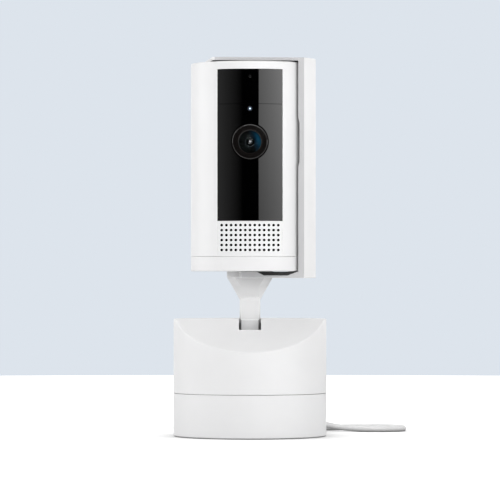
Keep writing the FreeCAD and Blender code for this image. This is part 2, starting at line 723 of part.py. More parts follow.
def body_shell():
    outside = round_edges_at(disc(HEAD_RADIUS, SHELL_BOTTOM, HEAD_TOP), 0.6, [HEAD_TOP], 20)
    lower_edge = [edge for edge in outside.Edges if edge.BoundBox.ZMax < SHELL_BOTTOM + 0.01]
    outside = outside.makeChamfer(SEAM_EDGE, lower_edge)
    shell = outside.cut(disc(HEAD_INNER, SHELL_BOTTOM, HEAD_TOP - WALL))
    post_low, post_high = 85.2, 95.0
    posts = [disc(2.5, post_low, post_high, x, y) for x, y in CAP_POSTS]
    web = block((22, HEAD_INNER + 0.5), (-1.2, 1.2), (post_low, post_high))
    for angle in (90, 210, 330):
        posts.append(web.rotated(Vector(0, 0, 0), Vector(0, 0, 1), angle))
    shell = joined(shell, *posts)
    across = (-OPENING_HALF_WIDTH, OPENING_HALF_WIDTH)
    front = block(across, (-HEAD_RADIUS - 1, -14), (SHELL_BOTTOM, OPENING_HIGH))
    pilots = [disc(1.0, post_low, 92.5, x, y) for x, y in CAP_POSTS]
    return shell.cut([front, disc(5.0, HEAD_TOP - WALL, HEAD_TOP)] + pilots)


def window_upper():
    low = WINDOW_SPLIT + SPLIT_GAP / 2
    window = curved_panel(PANEL_INNER, HEAD_RADIUS, PANEL_HALF_WIDTH, low, WINDOW_HIGH)
    return window.cut(rod_y(0.7, -HEAD_RADIUS - 1, -20, 0, MICROPHONE_HEIGHT))


def window_lower():
    high = WINDOW_SPLIT - SPLIT_GAP / 2
    window = curved_panel(PANEL_INNER, HEAD_RADIUS, PANEL_HALF_WIDTH, WINDOW_LOW, high)
    lens_hole = rod_y(8.5, -HEAD_RADIUS - 1, -20, 0, LENS_HEIGHT)
    light_hole = rod_y(STATUS_RADIUS + 0.05, -HEAD_RADIUS - 1, -20, 0, LED_HEIGHT)
    return window.cut([lens_hole, light_hole])


def grille_panel():
    panel = curved_panel(GRILLE_INNER, HEAD_RADIUS, GRILLE_HALF_WIDTH, GRILLE_LOW, GRILLE_HIGH)
    holes = []
    for column in range(GRILLE_COLUMNS):
        x = (column - (GRILLE_COLUMNS - 1) / 2) * GRILLE_COLUMN_PITCH
        for row in range(GRILLE_ROWS):
            z = GRILLE_TOP_ROW - row * GRILLE_ROW_PITCH
            holes.append(rod_y(GRILLE_HOLE, -HEAD_RADIUS - 1, -18, x, z))
    return panel.cut(holes)


def grille_cloth():
    return curved_panel(GRILLE_INNER - 0.35, GRILLE_INNER - TOUCH, 13.8, 84.0, 97.6)


def speaker():
    low, high = 85.4, 97.0
    front, back = -21.3, -17.0
    frame = block((-12, 12), (front, back), (low, high))
    middle = (low + high) / 2
    dish = cone_y(5.2, 2.5, front, front + 2.2, 0, middle)
    dome = Part.makeSphere(2.4, Vector(0, front + 2.9, middle))
    magnet = rod_y(4.5, back, back + 2.4, 0, middle)
    return joined(frame.cut(dish), dome, magnet)


def inner_frame():
    plate = block((-17.5, 17.5), (-14.5, -12.5), (98.5, 164))
    plate = plate.cut([rod_y(7.1, -15, -12, 0, LENS_HEIGHT), rod_y(2.5, -15, -12, 0, 156)])
    ribs = [block((x - 0.6, x + 0.6), (-12.5, -10), (100, 162)) for x in (-16, 16)]
    return joined(plate, *ribs)


def lens_bezel():
    """A dark ring with a flat face and a rounded rim, clamped behind the window."""
    front, back = -27.2, -22.3
    z = LENS_HEIGHT
    barrel = rod_y(BEZEL_RADIUS, front, back, 0, z)
    rim = [edge for edge in barrel.Edges if edge.BoundBox.YMax < front + 0.01]
    barrel = barrel.makeFillet(BEZEL_ROUNDING, rim)
    body = joined(barrel, rod_y(9.6, back - 1, back, 0, z))
    bore = rod_y(5.2, front, back, 0, z)
    countersink = cone_y(5.45, 5.2, front, front + 0.25, 0, z)
    socket = rod_y(7.0, front + 2, back, 0, z)
    return body.cut([bore, countersink, socket])


def lens_barrel():
    z = LENS_HEIGHT
    tube = rod_y(6.95, -25.1, -11.1, 0, z)
    return tube.cut([rod_y(5.15, -25.1, -20.5, 0, z), rod_y(2.0, -25.1, -11.1, 0, z)])


def front_lens():
    """The domed front element, flat behind."""
    back, rise, half = -25.0, 1.3, 5.1
    sphere_radius = (half ** 2 + rise ** 2) / (2 * rise)
    sphere = Part.makeSphere(sphere_radius, Vector(0, back - rise + sphere_radius, LENS_HEIGHT))
    return sphere.common(rod_y(half, back - rise - 1, back, 0, LENS_HEIGHT))


def lens_cup():
    """A coated funnel behind the front element."""
    start, end = -24.9, -22.4
    outer = rod_y(5.1, start, end, 0, LENS_HEIGHT)
    return outer.cut(cone_y(5.0, 2.05, start, end, 0, LENS_HEIGHT))


def aperture_ring():
    ring_outer = rod_y(5.1, -22.3, -21.5, 0, LENS_HEIGHT)
    return ring_outer.cut(rod_y(1.7, -22.3, -21.5, 0, LENS_HEIGHT))


def inner_lens():
    sphere = Part.makeSphere(2.0, Vector(0, -20.4, LENS_HEIGHT))
    return sphere.common(rod_y(1.65, -23.0, -20.6, 0, LENS_HEIGHT))


def sensor_board():
    board = block((-11, 11), (-10.0, -8.8), (LENS_HEIGHT - 11, LENS_HEIGHT + 11))
    chip = block((-4.5, 4.5), (-11.0, -10.0), (LENS_HEIGHT - 4, LENS_HEIGHT + 4))
    return joined(board, chip)


def infrared_board():
    board = block((-13.4, 13.4), (-20.5, -19.3), (114, 149.9))
    return board.cut(rod_y(7.2, -21, -19, 0, LENS_HEIGHT))


def infrared_leds():
    lamps = []
    for x, lift in ((-10, -11), (10, -11), (-10, 11), (10, 11), (0, -15)):
        body = rod_y(1.5, -21.8, -20.5, x, LENS_HEIGHT + lift)
        dome = Part.makeSphere(1.25, Vector(x, -21.8, LENS_HEIGHT + lift))
        lamps.append(joined(body, dome))
    return group(lamps)


def status_light():
    pipe = rod_y(STATUS_RADIUS, -26.9, -21.4, 0, LED_HEIGHT)
    lamp = block((-1.2, 1.2), (-21.4, -20.5), (LED_HEIGHT - 0.8, LED_HEIGHT + 0.8))
    return joined(pipe, lamp)


def microphone():
    capsule = rod_y(2.0, -25.1, -22.2, 0, MICROPHONE_HEIGHT).cut(rod_y(0.5, -25.1, -24, 0, MICROPHONE_HEIGHT))
    board = block((-5, 5), (-22.2, -21.2), (MICROPHONE_HEIGHT - 4, MICROPHONE_HEIGHT + 3))
    return joined(capsule, board)


def main_board():
    front, back = 2.0, 3.6
    board = block((-17, 17), (front, back), (90, 160))
    chips = [
        block((-6, 6), (front - 1.6, front), (100, 112)),
        block((-15, -7), (front - 1.2, front), (128, 140)),
        block((4, 14), (front - 3.0, front), (146, 156)),
        block((-14, -2), (front - 2.4, front), (150, 158)),
    ]
    return joined(board, *chips)


def heat_spreader():
    back = 0.4
    plate = block((-14, 14), (back - 1.2, back), (92, 122))
    fins = [block((x - 0.4, x + 0.4), (back - 4, back - 1.2), (93, 121)) for x in range(-12, 13, 4)]
    return joined(plate, *fins)


def wifi_antenna():
    strip = ring(24.3, 24.8, 112, 150)
    return strip.common(block((-9, 9), (15, 26), (112, 150)))


def cover_bush():
    """The plain bearing in the head's roof that the cover's pivot turns in."""
    flange = disc(7.0, HEAD_TOP, HEAD_TOP + 0.3)
    sleeve = disc(5.0, HEAD_TOP - 3, HEAD_TOP)
    return joined(flange, sleeve).cut(disc(PIVOT_BORE, HEAD_TOP - 3, HEAD_TOP + 1))


# ---- swivel privacy cover -----------------------------------------------------------------
def opened(shape):
    """Turn a cover piece from closed over the lens to its open rest place."""
    shape.rotate(Vector(0, 0, 0), Vector(0, 0, 1), COVER_OPEN_ANGLE)
    return shape


def edge_recess(start, end):
    """The tapered recess in the front edge of the cover's shelf, between two x places."""
    top = COVER_SHELF_TOP
    low = top - 1.7
    outline = [(-19.5, top), (-15.0, low), (-4.2, low), (-0.9, top)]
    return prism_x(outline, start, end)


def privacy_cover():
    wide = COVER_HALF_WIDTH
    front = (-COVER_RADIUS - 1, 0)
    wall = ring(COVER_INNER, COVER_RADIUS, COVER_LOW, COVER_TOP).common(
        block((-wide, wide), (-COVER_RADIUS - 1, -10), (COVER_LOW, COVER_TOP)))
    roof_front = disc(COVER_RADIUS, COVER_ROOF_LOW, COVER_TOP).common(
        block((-wide, wide), front, (COVER_ROOF_LOW, COVER_TOP)))
    roof_back = disc(HEAD_RADIUS, COVER_ROOF_LOW, COVER_TOP).common(
        block((-wide, wide), (0, COVER_ROOF_REACH), (COVER_ROOF_LOW, COVER_TOP)))
    shelf = disc(COVER_RADIUS, COVER_LOW, COVER_SHELF_TOP).common(
        block((-wide, wide), (-COVER_RADIUS - 1, COVER_HORN_REACH), (COVER_LOW, COVER_SHELF_TOP)))
    boss = disc(PIVOT_RADIUS, HEAD_TOP - 3.3, COVER_ROOF_LOW)
    cover = joined(wall, roof_front, roof_back, shelf, boss)
    underside = [edge for edge in cover.Edges if edge.BoundBox.ZMax < COVER_LOW + 0.01]
    cover = cover.makeChamfer(COVER_CHAMFER, underside)
    groove_low = LENS_HEIGHT - LENS_GROOVE_HALF
    groove_high = LENS_HEIGHT + LENS_GROOVE_HALF
    groove = turned([
        (COVER_INNER - 1, groove_low), (COVER_INNER, groove_low),
        (LENS_GROOVE_RADIUS, groove_low + 2), (LENS_GROOVE_RADIUS, groove_high - 2),
        (COVER_INNER, groove_high), (COVER_INNER - 1, groove_high),
    ])
    collar = disc(COVER_COLLAR, COVER_LOW, COVER_SHELF_TOP)
    pilot = disc(0.8, HEAD_TOP - 3.3, COVER_ROOF_LOW - 0.3)
    return opened(cover.cut([groove, collar, pilot, edge_recess(-wide, -wide + 3)]))


def cover_pad():
    return opened(edge_recess(-COVER_HALF_WIDTH + 0.3, -COVER_HALF_WIDTH + 3))


def cover_screw():
    top = HEAD_TOP - 3.3
    head = disc(4.2, top - 1.4, top)
    shank = disc(0.8, top, COVER_ROOF_LOW - 0.4)
    return joined(head, shank).cut(cross_recess(0, 0, top - 1.4, top - 0.7))


# ---- power lead ---------------------------------------------------------------------------
def tube_along(points, radius):
    """A round tube along straight runs joined by arcs that are as large as the runs allow."""
    corners = [Vector(*point) for point in points]
    share = 0.45
    edges = []
    length = 0.0
    radii = []
    here = corners[0]
    for before, corner, after in zip(corners, corners[1:], corners[2:]):
        run_in = corner - before
        run_out = after - corner
        tangent = share * min(run_in.Length, run_out.Length)
        turn = run_in.getAngle(run_out)
        into = Vector(run_in).normalize()
        out = Vector(run_out).normalize()
        bend = tangent / math.tan(turn / 2)
        radii.append(bend)
        arc_start = corner - into * tangent
        arc_end = corner + out * tangent
        inward = Vector(out - into).normalize()
        middle = corner + inward * (bend / math.cos(turn / 2) - bend)
        edges.append(Part.LineSegment(here, arc_start).toShape())
        edges.append(Part.Arc(arc_start, middle, arc_end).toShape())
        length += (arc_start - here).Length + bend * turn
        here = arc_end
    edges.append(Part.LineSegment(here, corners[-1]).toShape())
    length += (corners[-1] - here).Length
    path = Part.Wire(edges)
    profile = Part.Wire(Part.Circle(corners[0], corners[1] - corners[0], radius).toShape())
    tube = path.makePipeShell([profile], True, False)
    expected = math.pi * radius ** 2 * length
    print("lead run %.1f mm, volume ratio %.4f" % (length, tube.Volume / expected))
    print("bend radii", ", ".join("%.1f" % bend for bend in radii))
    return tube, length


def coil_section(grow):
    """The coil's ring solid, grown by a little on every side but its underside."""
    half_across = COIL_TURNS_ACROSS * CORD_RADIUS + grow
    height = COIL_LAYERS * 2 * CORD_RADIUS + grow
    return ring(COIL_MEAN_RADIUS - half_across, COIL_MEAN_RADIUS + half_across, 0, height)


def tie_strip():
    """The straight block that the tie takes out of the ring at its place round the coil."""
    strip = block((5, 40), (-TIE_WIDTH / 2, TIE_WIDTH / 2), (-1, 40))
    strip.rotate(Vector(0, 0, 0), Vector(0, 0, 1), TIE_ANGLE)
    return strip


def coil_core():
    """The coil where the tie squeezes it, lifted by the tie's thickness."""
    lift = TIE_THICKNESS
    half_across = COIL_TURNS_ACROSS * CORD_RADIUS
    height = COIL_LAYERS * 2 * CORD_RADIUS
    return ring(COIL_MEAN_RADIUS - half_across, COIL_MEAN_RADIUS + half_across, lift, height)


def cord_coil():
    free = round_edges_at(coil_section(0), CORD_RADIUS, [0, COIL_LAYERS * 2 * CORD_RADIUS], 5)
    coil = joined(free.cut(tie_strip()), coil_core().common(tie_strip()))
    coil.translate(COIL_CENTRE)
    return coil


def coil_tie():
    band = coil_section(TIE_THICKNESS).cut(coil_core()).common(tie_strip())
    band.translate(COIL_CENTRE)
    return band


def power_cord():
    lead, lead_length = tube_along(LEAD_ROUTE, CORD_RADIUS)
    tail, tail_length = tube_along(TAIL_ROUTE, CORD_RADIUS)
    turns = COIL_TURNS_ACROSS * COIL_LAYERS
    coil_length = turns * 2 * math.pi * COIL_MEAN_RADIUS
    total = lead_length + tail_length + coil_length
    print("lead %.0f mm in all, against %.0f mm wanted" % (total, CORD_LENGTH))
    return group([lead, tail])


def usb_plug_body():
    """The moulded grip of the plug, with a short tapered neck."""
    start = TAIL_ROUTE[-1][1]
    grip = block((PLUG_X - 7.8, PLUG_X + 7.8), (start + 4, start + 20), (0.0, 8.0))
    grip = grip.makeFillet(1.8, [edge for edge in grip.Edges if edge.BoundBox.YLength > 1])
    neck = cone_y(1.9, 3.4, start, start + 4, PLUG_X, 4.0)
    return joined(grip, neck)


def usb_plug_shell():
    start = TAIL_ROUTE[-1][1] + 20
    end = start + 11.8
    outer = block((PLUG_X - 6.0, PLUG_X + 6.0), (start, end), (1.75, 6.25))
    inner = block((PLUG_X - 5.7, PLUG_X + 5.7), (start + 0.6, end), (2.05, 5.95))
    tongue = block((PLUG_X - 5.7, PLUG_X + 5.7), (start + 0.6, end - 0.6), (2.05, 4.0))
    windows = []
    for x in (PLUG_X - 2.9, PLUG_X + 2.9):
        windows.append(block((x - 1.1, x + 1.1), (start + 5.1, start + 7.6), (5.9, 6.3)))
    return joined(outer.cut(inner).cut(windows), tongue)


# ---- export -------------------------------------------------------------------------------
NODES = [
    base_shell, base_floor, foot_ring, ballast_weight, power_board, switch_board, setup_button,
    base_screws, pan_gear, pan_bearing, pan_clip, cord_boot,
    pan_housing, turntable, pan_screws, pan_motor, pan_pinion, motor_screws, tilt_frame, tilt_bushes,
    tilt_motor, tilt_pinion, drive_board,
    tilt_arm, tilt_shaft, shaft_clips, tilt_gear, arm_screws, bottom_cap, head_screws, body_shell,
    window_upper, window_lower, grille_panel, grille_cloth, speaker, inner_frame, lens_bezel,
    lens_barrel, front_lens, lens_cup, aperture_ring, inner_lens, sensor_board, infrared_board,
    infrared_leds, status_light, microphone, main_board, heat_spreader, wifi_antenna, cover_bush,
    privacy_cover, cover_pad, cover_screw,
    power_cord, cord_coil, coil_tie, usb_plug_body, usb_plug_shell,
]

os.makedirs("parts", exist_ok=True)
for make_node in NODES:
    shape = make_node()
    name = make_node.__name__
    print(name, len(shape.Solids), "solids, valid" if shape.isValid() else "solids, NOT VALID")
    shape.exportStep(os.path.join("parts", name + ".step"))
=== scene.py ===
import bpy
import json
import math
from mathutils import Matrix, Vector


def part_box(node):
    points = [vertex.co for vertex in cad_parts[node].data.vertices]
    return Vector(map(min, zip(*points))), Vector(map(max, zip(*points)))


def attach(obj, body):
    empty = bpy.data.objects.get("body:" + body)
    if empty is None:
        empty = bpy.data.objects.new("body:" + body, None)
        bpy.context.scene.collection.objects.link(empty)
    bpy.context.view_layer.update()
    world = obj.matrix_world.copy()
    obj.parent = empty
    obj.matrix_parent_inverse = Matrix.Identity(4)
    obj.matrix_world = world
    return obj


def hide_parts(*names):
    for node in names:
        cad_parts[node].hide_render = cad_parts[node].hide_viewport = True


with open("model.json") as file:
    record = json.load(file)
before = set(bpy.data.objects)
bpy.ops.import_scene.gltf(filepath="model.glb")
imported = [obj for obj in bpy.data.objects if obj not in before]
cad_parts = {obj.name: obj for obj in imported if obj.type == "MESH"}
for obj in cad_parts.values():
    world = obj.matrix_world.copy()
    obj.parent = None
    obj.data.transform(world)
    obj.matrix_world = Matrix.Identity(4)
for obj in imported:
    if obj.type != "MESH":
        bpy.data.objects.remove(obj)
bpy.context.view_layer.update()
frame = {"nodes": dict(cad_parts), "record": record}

# Security camera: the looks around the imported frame. Metres, +Z up, the front faces -Y.

# ---- camera -------------------------------------------------------------------------------
EYE_DISTANCE = 1.60         # from the pan axis to the eye
EYE_HEIGHT = 0.0738         # level with the underside of the camera head
SENSOR_WIDTH = 36.0
LENS_LENGTH = 251.4
RISE = 0.05                 # upward shift that keeps upright edges parallel
FAR_LIMIT = 20.0            # nothing further away than this is drawn


def make_camera():
    """A level eye straight in front, far enough away to look nearly flat."""
    data = bpy.data.cameras.new("eye")
    data.lens = LENS_LENGTH
    data.sensor_width = SENSOR_WIDTH
    data.shift_y = RISE
    data.clip_end = FAR_LIMIT
    eye = bpy.data.objects.new("eye", data)
    eye.location = (0.0, -EYE_DISTANCE, EYE_HEIGHT)
    eye.rotation_euler = (math.radians(90), 0.0, 0.0)
    bpy.context.scene.collection.objects.link(eye)
    bpy.context.scene.camera = eye


make_camera()

# ---- power lead ---------------------------------------------------------------------------
CORD_DIAMETER = 0.0028
COIL_CENTRE = Vector((0.0080, 0.07405, 0.0))
COIL_MEAN_RADIUS = 0.01615
TURNS_ACROSS = 4
COIL_LAYERS = 4
POINTS_PER_TURN = 16
TIE_ANGLE = math.radians(40)
TIE_WIDTH = 0.009
TIE_THICKNESS = 0.0008
TIE_RIDE_START = 0.3        # angle off the tie where the coil starts to come down again
TIE_RIDE_LENGTH = 0.5       # angle over which it comes down
TURN_SHIFT_FROM = 0.75      # share of a turn after which it moves over to the next one's place

# The corner points of the lead's rounded route: boot to coil, then coil to plug.
LEAD_ROUTE = [
    (0.0261, 0.0373, 0.0052),
    (0.0310, 0.0443, 0.0044),
    (0.0413, 0.0465, 0.0020),
    (0.0524, 0.0420, 0.0014),
    (0.0632, 0.0401, 0.0014),
    (0.0705, 0.0443, 0.0014),
    (0.0733, 0.0522, 0.0014),
    (0.0705, 0.0601, 0.0014),
    (0.0632, 0.0643, 0.0014),
    (0.0513, 0.0626, 0.0014),
    (0.0372, 0.0575, 0.0014),
    (0.0225, 0.0544, 0.0014),
]
TAIL_ROUTE = [
    (-0.0035, 0.0534, 0.0086),
    (-0.0150, 0.0543, 0.0058),
    (-0.0219, 0.0601, 0.0044),
    (-0.0234, 0.0684, 0.0040),
    (-0.0234, 0.0748, 0.0040),
]


def smooth_step(value):
    """An even rise from 0 to 1 with soft ends."""
    value = min(1.0, max(0.0, value))
    return value * value * (3 - 2 * value)


def coil_places():
    """(radius, height) of each turn: in across the first layer, out across the next, and so on."""
    places = []
    for layer in range(COIL_LAYERS):
        order = range(TURNS_ACROSS)
        if layer % 2:
            order = reversed(order)
        for column in order:
            radius = COIL_MEAN_RADIUS + ((TURNS_ACROSS - 1) / 2 - column) * CORD_DIAMETER
            places.append((radius, (layer + 0.5) * CORD_DIAMETER))
    return places


def lift_over_tie(angle):
    """How far the coil rides up where it lies on its own tie."""
    away = abs((angle - TIE_ANGLE + math.pi) % (2 * math.pi) - math.pi)
    return TIE_THICKNESS * smooth_step(1 - (away - TIE_RIDE_START) / TIE_RIDE_LENGTH)


def coil_points():
    """The turns of the coil, wound clockwise from its front."""
    places = coil_places()
    places.append(places[-1])
    spread = 1 / math.cos(math.pi / POINTS_PER_TURN)
    points = []
    for turn in range(len(places) - 1):
        radius, height = places[turn]
        next_radius, next_height = places[turn + 1]
        for step in range(POINTS_PER_TURN):
            share = step / POINTS_PER_TURN
            angle = -math.pi / 2 - 2 * math.pi * share
            blend = smooth_step((share - TURN_SHIFT_FROM) / (1 - TURN_SHIFT_FROM))
            reach = (radius + (next_radius - radius) * blend) * spread
            level = height + (next_height - height) * blend + lift_over_tie(angle)
            place = Vector((reach * math.cos(angle), reach * math.sin(angle), level))
            points.append(COIL_CENTRE + place)
    last_radius, last_height = places[-1]
    points.append(COIL_CENTRE + Vector((0.0, -last_radius * spread, last_height)))
    return points


def make_cord():
    """The whole lead as one smooth round line: boot, coil, plug."""
    points = [Vector(point) for point in LEAD_ROUTE] + coil_points()
    points += [Vector(point) for point in TAIL_ROUTE]
    curve = bpy.data.curves.new("lead", "CURVE")
    curve.dimensions = "3D"
    curve.bevel_depth = CORD_DIAMETER / 2
    curve.bevel_resolution = 5
    curve.use_fill_caps = True
    spline = curve.splines.new("NURBS")
    spline.points.add(len(points) - 1)
    for point, place in zip(spline.points, points):
        point.co = (place.x, place.y, place.z, 1.0)
    spline.order_u = 3
    spline.use_endpoint_u = True
    spline.resolution_u = 6
    lead = bpy.data.objects.new("lead", curve)
    bpy.context.scene.collection.objects.link(lead)
    return lead


lead = make_cord()


# ---- material building blocks -------------------------------------------------------------
CREVICE_REACH = 0.006       # how near another surface has to be for shade to be painted into a corner
CREVICE_SHADE = 0.55        # what is left of the colour under the painted shade deep in a corner
CREVICE_SAMPLES = 12
EDGE_REACH = 0.0006         # how far from an edge the painted highlight line reaches
EDGE_SAMPLES = 6
FOOT_ZONE_LOW = 0.004       # below this height no shade is painted into corners at all
FOOT_ZONE_HIGH = 0.010


def new_material(name):
    """A material with its node tree and its shader."""
    material = bpy.data.materials.new(name)
    material.use_nodes = True
    tree = material.node_tree
    shader = tree.nodes["Principled BSDF"]
    return material, tree, shader


def object_place(tree, scale=1.0):
    """The place on the piece, in metres of its own frame, times scale."""
    coords = tree.nodes.new("ShaderNodeTexCoord")
    mapping = tree.nodes.new("ShaderNodeMapping")
    mapping.inputs["Scale"].default_value = (scale, scale, scale)
    tree.links.new(coords.outputs["Object"], mapping.inputs["Vector"])
    return mapping.outputs["Vector"]


def noise(tree, scale, detail=4.0, roughness=0.55):
    """Cloudy values around one half; the scale is in features per metre."""
    node = tree.nodes.new("ShaderNodeTexNoise")
    node.inputs["Scale"].default_value = scale
    node.inputs["Detail"].default_value = detail
    node.inputs["Roughness"].default_value = roughness
    tree.links.new(object_place(tree), node.inputs["Vector"])
    return node.outputs["Fac"]


def spread_to(tree, value, low, high, from_low=0.3, from_high=0.7):
    """Straight-line change from low to high while the value goes from from_low to from_high."""
    node = tree.nodes.new("ShaderNodeMapRange")
    node.inputs["From Min"].default_value = from_low
    node.inputs["From Max"].default_value = from_high
    node.inputs["To Min"].default_value = low
    node.inputs["To Max"].default_value = high
    tree.links.new(value, node.inputs["Value"])
    return node.outputs["Result"]


def times(colour, share):
    """A darker copy of a colour."""
    return tuple(channel * share for channel in colour)


def mixed(tree, amount, first, second):
    """Blend of two colours; each is a constant or an output socket."""
    node = tree.nodes.new("ShaderNodeMix")
    node.data_type = "RGBA"
    tree.links.new(amount, node.inputs["Factor"])
    for socket, colour in ((node.inputs["A"], first), (node.inputs["B"], second)):
        if isinstance(colour, bpy.types.NodeSocket):
            tree.links.new(colour, socket)
        else:
            socket.default_value = (*colour, 1.0)
    return node.outputs["Result"]


def combined(tree, operation, first, second):
    """One step of arithmetic on two values; each is a number or an output socket."""
    node = tree.nodes.new("ShaderNodeMath")
    node.operation = operation
    for socket, value in zip(node.inputs, (first, second)):
        if isinstance(value, bpy.types.NodeSocket):
            tree.links.new(value, socket)
        else:
            socket.default_value = value
    return node.outputs[0]


def edge_highlight_mask(tree):
    """Bright along edges, where the surface and a rounded copy of it face different ways; it sets where
    a highlight is painted.
    """
    rounded = tree.nodes.new("ShaderNodeBevel")
    rounded.samples = EDGE_SAMPLES
    rounded.inputs["Radius"].default_value = EDGE_REACH
    geometry = tree.nodes.new("ShaderNodeNewGeometry")
    alike = tree.nodes.new("ShaderNodeVectorMath")
    alike.operation = "DOT_PRODUCT"
    tree.links.new(rounded.outputs["Normal"], alike.inputs[0])
    tree.links.new(geometry.outputs["Normal"], alike.inputs[1])
    return spread_to(tree, alike.outputs["Value"], 1.0, 0.0, 0.90, 0.995)


def closed_in_mask(tree):
    """Bright deep in corners and gaps, where little light reaches; it sets where shade is painted."""
    openness = tree.nodes.new("ShaderNodeAmbientOcclusion")
    openness.inputs["Distance"].default_value = CREVICE_REACH
    openness.samples = CREVICE_SAMPLES
    return spread_to(tree, openness.outputs["AO"], 1.0, 0.0, 0.3, 0.95)


def painted_corner_shade_mask(tree):
    """The same mask for painted shade, but not next to the floor, where the object stays bright."""
    split = tree.nodes.new("ShaderNodeSeparateXYZ")
    tree.links.new(object_place(tree), split.inputs["Vector"])
    clear_of_floor = spread_to(tree, split.outputs["Z"], 0.0, 1.0, FOOT_ZONE_LOW, FOOT_ZONE_HIGH)
    return combined(tree, "MULTIPLY", closed_in_mask(tree), clear_of_floor)


def bumped(tree, shader, height, distance, strength=1.0, under=None):
    """Fine relief for the light only, on top of any relief already there."""
    node = tree.nodes.new("ShaderNodeBump")
    node.inputs["Distance"].default_value = distance
    node.inputs["Strength"].default_value = strength
    tree.links.new(height, node.inputs["Height"])
    if under is not None:
        tree.links.new(under, node.inputs["Normal"])
    tree.links.new(node.outputs["Normal"], shader.inputs["Normal"])
    return node.outputs["Normal"]


def moulded(name, colour, highlight_colour, roughness, grain=0.000012, grain_scale=2600.0, coat=0.0):
    """Moulded plastic: fine spark-eroded grain, slow tint and gloss changes, shade painted into corners
    and gaps, and a paler highlight painted along edges.
    """
    material, tree, shader = new_material(name)
    cloudy = noise(tree, scale=38.0)
    base = mixed(tree, spread_to(tree, cloudy, 0.0, 1.0), times(colour, 0.965), colour)
    # shade painted into corners and gaps
    base = mixed(tree, painted_corner_shade_mask(tree), base, times(colour, CREVICE_SHADE))
    # a paler highlight painted along edges
    highlighted = mixed(tree, edge_highlight_mask(tree), base, highlight_colour)
    tree.links.new(highlighted, shader.inputs["Base Color"])
    gloss = spread_to(tree, noise(tree, scale=160.0, detail=6.0), roughness - 0.05, roughness + 0.06)
    tree.links.new(gloss, shader.inputs["Roughness"])
    under = bumped(tree, shader, noise(tree, grain_scale, detail=2.0), distance=grain)
    ripple = noise(tree, scale=55.0, detail=2.0)
    bumped(tree, shader, ripple, distance=0.00002, strength=0.6, under=under)
    shader.inputs["Coat Weight"].default_value = coat
    shader.inputs["Coat Roughness"].default_value = 0.2
    return material


def rubber(name, colour, roughness):
    """Soft moulded rubber or cable jacket: matt skin with fine pores and a dusty sheen, and shade
    painted into corners and gaps.
    """
    material, tree, shader = new_material(name)
    dusty = tuple(min(1.0, channel * 0.9 + 0.03) for channel in colour)
    patches = spread_to(tree, noise(tree, scale=220.0), 0.0, 1.0, from_low=0.4, from_high=0.65)
    skin = mixed(tree, patches, colour, dusty)
    # shade painted into corners and gaps
    shaded = mixed(tree, closed_in_mask(tree), skin, times(colour, CREVICE_SHADE))
    tree.links.new(shaded, shader.inputs["Base Color"])
    gloss = spread_to(tree, noise(tree, scale=700.0), roughness - 0.08, roughness + 0.08)
    tree.links.new(gloss, shader.inputs["Roughness"])
    bumped(tree, shader, noise(tree, scale=3200.0, detail=3.0), distance=0.00002)
    shader.inputs["Sheen Weight"].default_value = 0.08
    return material


def metal(name, colour, roughness, streak=900.0):
    """Turned or rolled metal with fine streaks and slightly dulled patches."""
    material, tree, shader = new_material(name)
    patches = spread_to(tree, noise(tree, scale=130.0), 0.0, 1.0)
    tree.links.new(mixed(tree, patches, colour, times(colour, 0.82)), shader.inputs["Base Color"])
    shader.inputs["Metallic"].default_value = 1.0
    lines = tree.nodes.new("ShaderNodeTexNoise")
    lines.inputs["Scale"].default_value = streak
    lines.inputs["Detail"].default_value = 3.0
    stretch = tree.nodes.new("ShaderNodeMapping")
    stretch.inputs["Scale"].default_value = (1.0, 1.0, 0.08)
    tree.links.new(object_place(tree), stretch.inputs["Vector"])
    tree.links.new(stretch.outputs["Vector"], lines.inputs["Vector"])
    rough = spread_to(tree, lines.outputs["Fac"], roughness - 0.08, roughness + 0.1)
    tree.links.new(rough, shader.inputs["Roughness"])
    bumped(tree, shader, lines.outputs["Fac"], distance=0.000008)
    return material


def polished(name, colour, roughness, speck=(0.05, 0.05, 0.055), ior=1.5):
    """Polished dark panel: near-mirror gloss with faint dust and hairline swirls."""
    material, tree, shader = new_material(name)
    specks = noise(tree, scale=1400.0, detail=2.0)
    dust = spread_to(tree, specks, 0.0, 0.5, from_low=0.7, from_high=0.82)
    tree.links.new(mixed(tree, dust, colour, speck), shader.inputs["Base Color"])
    swirl = spread_to(tree, noise(tree, scale=90.0, detail=8.0), roughness * 0.6, roughness * 1.7)
    tree.links.new(swirl, shader.inputs["Roughness"])
    shader.inputs["IOR"].default_value = ior
    return material


def circuit_board(name):
    """Green solder mask with copper traces under it and pale printed outlines."""
    material, tree, shader = new_material(name)
    bricks = tree.nodes.new("ShaderNodeTexBrick")
    bricks.inputs["Scale"].default_value = 260.0
    bricks.inputs["Mortar Size"].default_value = 0.03
    bricks.inputs["Color1"].default_value = (0.020, 0.16, 0.075, 1)
    bricks.inputs["Color2"].default_value = (0.014, 0.12, 0.055, 1)
    bricks.inputs["Mortar"].default_value = (0.06, 0.30, 0.13, 1)
    tree.links.new(object_place(tree), bricks.inputs["Vector"])
    tree.links.new(bricks.outputs["Color"], shader.inputs["Base Color"])
    gloss = spread_to(tree, noise(tree, scale=500.0), 0.25, 0.45)
    tree.links.new(gloss, shader.inputs["Roughness"])
    bumped(tree, shader, bricks.outputs["Fac"], distance=0.00003)
    return material


